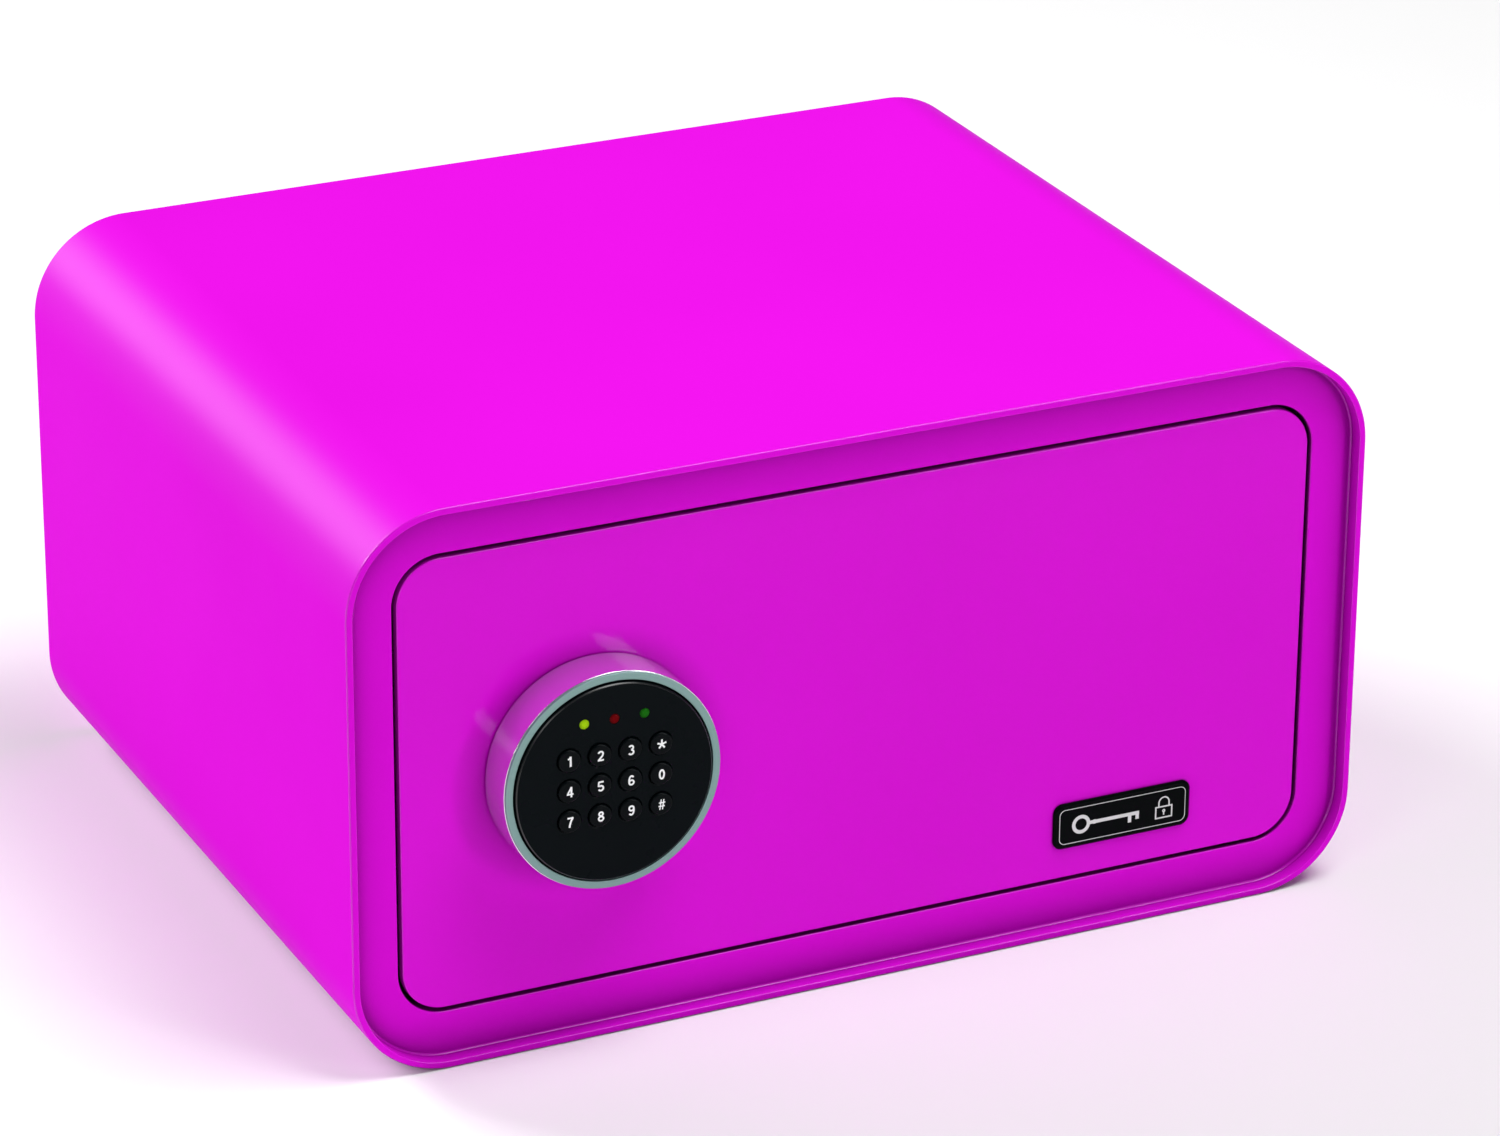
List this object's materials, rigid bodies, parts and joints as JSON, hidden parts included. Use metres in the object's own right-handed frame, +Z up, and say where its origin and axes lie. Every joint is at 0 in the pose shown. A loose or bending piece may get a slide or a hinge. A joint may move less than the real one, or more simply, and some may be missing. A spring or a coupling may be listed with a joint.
{
  "type": "furniture safe",
  "caption": "Steel furniture safe with rounded corners, a recessed hinged door, a round knob with a built-in keypad, sliding bolts and a felt-lined interior.",
  "frame": {"origin": "centre of the casing's underside, halfway between its front lip and its back", "axes": "+X across the width towards the hinge side, +Z up, +Y from the door towards the back; the door faces -Y"},
  "size_m": [0.43, 0.3572, 0.23],
  "materials": {
    "casing_paint": "smooth semi-gloss enamel",
    "frame_paint": "smooth semi-gloss enamel",
    "door_paint": "smooth semi-gloss enamel",
    "mat_felt": "needled felt",
    "zinc_steel": "zinc plated",
    "bright_steel": "turned",
    "white_nylon": "natural nylon",
    "black_gloss": "polished, silver border line",
    "dark_plastic": "fine texture",
    "cell_wrap": "printed sleeve",
    "coil_copper": "enamelled winding",
    "board_green": "solder mask",
    "wire_black": "pvc",
    "knob_chrome": "polished",
    "rim_satin": "satin",
    "keypad_black": "satin black",
    "lamp_yellow": "lit lens",
    "lamp_red": "tinted lens",
    "lamp_green": "tinted lens",
    "key_black": "satin black, white figure",
    "button_red": "moulded"
  },
  "bodies": {
    "cabinet": {"casing_shell": "casing_paint", "back_panel": "casing_paint", "front_frame": "frame_paint", "hinge_bracket_top": "frame_paint", "hinge_bracket_bottom": "frame_paint", "floor_mat": "mat_felt"},
    "door": {"door_plate": "door_paint", "lock_tray": "zinc_steel", "hinge_pin_top": "bright_steel", "hinge_pin_bottom": "bright_steel", "hinge_spacers": "white_nylon", "spindle_bush": "white_nylon", "bolt_bushes": "white_nylon", "guide_posts": "bright_steel", "nameplate": "black_gloss", "inner_cover": "dark_plastic", "cover_screws": "bright_steel", "cover_pillars": "zinc_steel", "battery_holder": "dark_plastic", "battery_cells": "cell_wrap", "battery_contacts": "bright_steel", "solenoid_frame": "zinc_steel", "solenoid_coil": "coil_copper", "control_board": "board_green", "wiring_loom": "wire_black"},
    "knob": {"knob_body": "knob_chrome", "knob_rim": "rim_satin", "keypad_face": "keypad_black", "keypad_board": "board_green", "spindle": "bright_steel", "spindle_screws": "bright_steel", "crank_disc": "bright_steel", "lamp_yellow": "lamp_yellow", "lamp_red": "lamp_red", "lamp_green": "lamp_green"},
    "bolt_work": {"bolt_upper": "knob_chrome", "bolt_lower": "knob_chrome", "bolt_carrier": "zinc_steel", "carrier_rivets": "bright_steel"},
    "solenoid_plunger": {"solenoid_plunger": "bright_steel"},
    "battery_cover": {"battery_cover": "dark_plastic"},
    "program_button": {"program_button": "button_red"},
    "key_1": {"key_1": "key_black"},
    "key_2": {"key_2": "key_black"},
    "key_3": {"key_3": "key_black"},
    "key_star": {"key_star": "key_black"},
    "key_4": {"key_4": "key_black"},
    "key_5": {"key_5": "key_black"},
    "key_6": {"key_6": "key_black"},
    "key_0": {"key_0": "key_black"},
    "key_7": {"key_7": "key_black"},
    "key_8": {"key_8": "key_black"},
    "key_9": {"key_9": "key_black"},
    "key_hash": {"key_hash": "key_black"}
  },
  "joints": [
    {"name": "door_hinge", "type": "hinge", "parent": "cabinet", "child": "door", "pos_m": [0.17, -0.1555, 0.115], "axis": [0, 0, 1], "range_deg": [0, 105]},
    {"name": "knob_turn", "type": "hinge", "parent": "door", "child": "knob", "pos_m": [-0.114, -0.1645, 0.1135], "axis": [0, 1, 0], "range_deg": [-90, 0]},
    {"name": "bolt_slide", "type": "slide", "parent": "door", "child": "bolt_work", "axis": [-1, 0, 0], "range_m": [0, 0.01838]},
    {"name": "solenoid_lift", "type": "slide", "parent": "door", "child": "solenoid_plunger", "axis": [0, 0, 1], "range_m": [0, 0.004]},
    {"name": "battery_cover_lift", "type": "slide", "parent": "door", "child": "battery_cover", "axis": [0, 1, 0], "range_m": [0, 0.03]},
    {"name": "program_button_press", "type": "slide", "parent": "door", "child": "program_button", "axis": [0, -1, 0], "range_m": [0, 0.001], "stiffness_N_per_m": 500, "springref_m": -0.001},
    {"name": "key_1_press", "type": "slide", "parent": "knob", "child": "key_1", "axis": [0, 1, 0], "range_m": [0, 0.001], "stiffness_N_per_m": 500, "springref_m": -0.001},
    {"name": "key_2_press", "type": "slide", "parent": "knob", "child": "key_2", "axis": [0, 1, 0], "range_m": [0, 0.001], "stiffness_N_per_m": 500, "springref_m": -0.001},
    {"name": "key_3_press", "type": "slide", "parent": "knob", "child": "key_3", "axis": [0, 1, 0], "range_m": [0, 0.001], "stiffness_N_per_m": 500, "springref_m": -0.001},
    {"name": "key_star_press", "type": "slide", "parent": "knob", "child": "key_star", "axis": [0, 1, 0], "range_m": [0, 0.001], "stiffness_N_per_m": 500, "springref_m": -0.001},
    {"name": "key_4_press", "type": "slide", "parent": "knob", "child": "key_4", "axis": [0, 1, 0], "range_m": [0, 0.001], "stiffness_N_per_m": 500, "springref_m": -0.001},
    {"name": "key_5_press", "type": "slide", "parent": "knob", "child": "key_5", "axis": [0, 1, 0], "range_m": [0, 0.001], "stiffness_N_per_m": 500, "springref_m": -0.001},
    {"name": "key_6_press", "type": "slide", "parent": "knob", "child": "key_6", "axis": [0, 1, 0], "range_m": [0, 0.001], "stiffness_N_per_m": 500, "springref_m": -0.001},
    {"name": "key_0_press", "type": "slide", "parent": "knob", "child": "key_0", "axis": [0, 1, 0], "range_m": [0, 0.001], "stiffness_N_per_m": 500, "springref_m": -0.001},
    {"name": "key_7_press", "type": "slide", "parent": "knob", "child": "key_7", "axis": [0, 1, 0], "range_m": [0, 0.001], "stiffness_N_per_m": 500, "springref_m": -0.001},
    {"name": "key_8_press", "type": "slide", "parent": "knob", "child": "key_8", "axis": [0, 1, 0], "range_m": [0, 0.001], "stiffness_N_per_m": 500, "springref_m": -0.001},
    {"name": "key_9_press", "type": "slide", "parent": "knob", "child": "key_9", "axis": [0, 1, 0], "range_m": [0, 0.001], "stiffness_N_per_m": 500, "springref_m": -0.001},
    {"name": "key_hash_press", "type": "slide", "parent": "knob", "child": "key_hash", "axis": [0, 1, 0], "range_m": [0, 0.001], "stiffness_N_per_m": 500, "springref_m": -0.001}
  ],
  "couplings": [
    {"joint": "bolt_slide", "follows": "knob_turn", "m_per_rad": -0.011704}
  ]
}
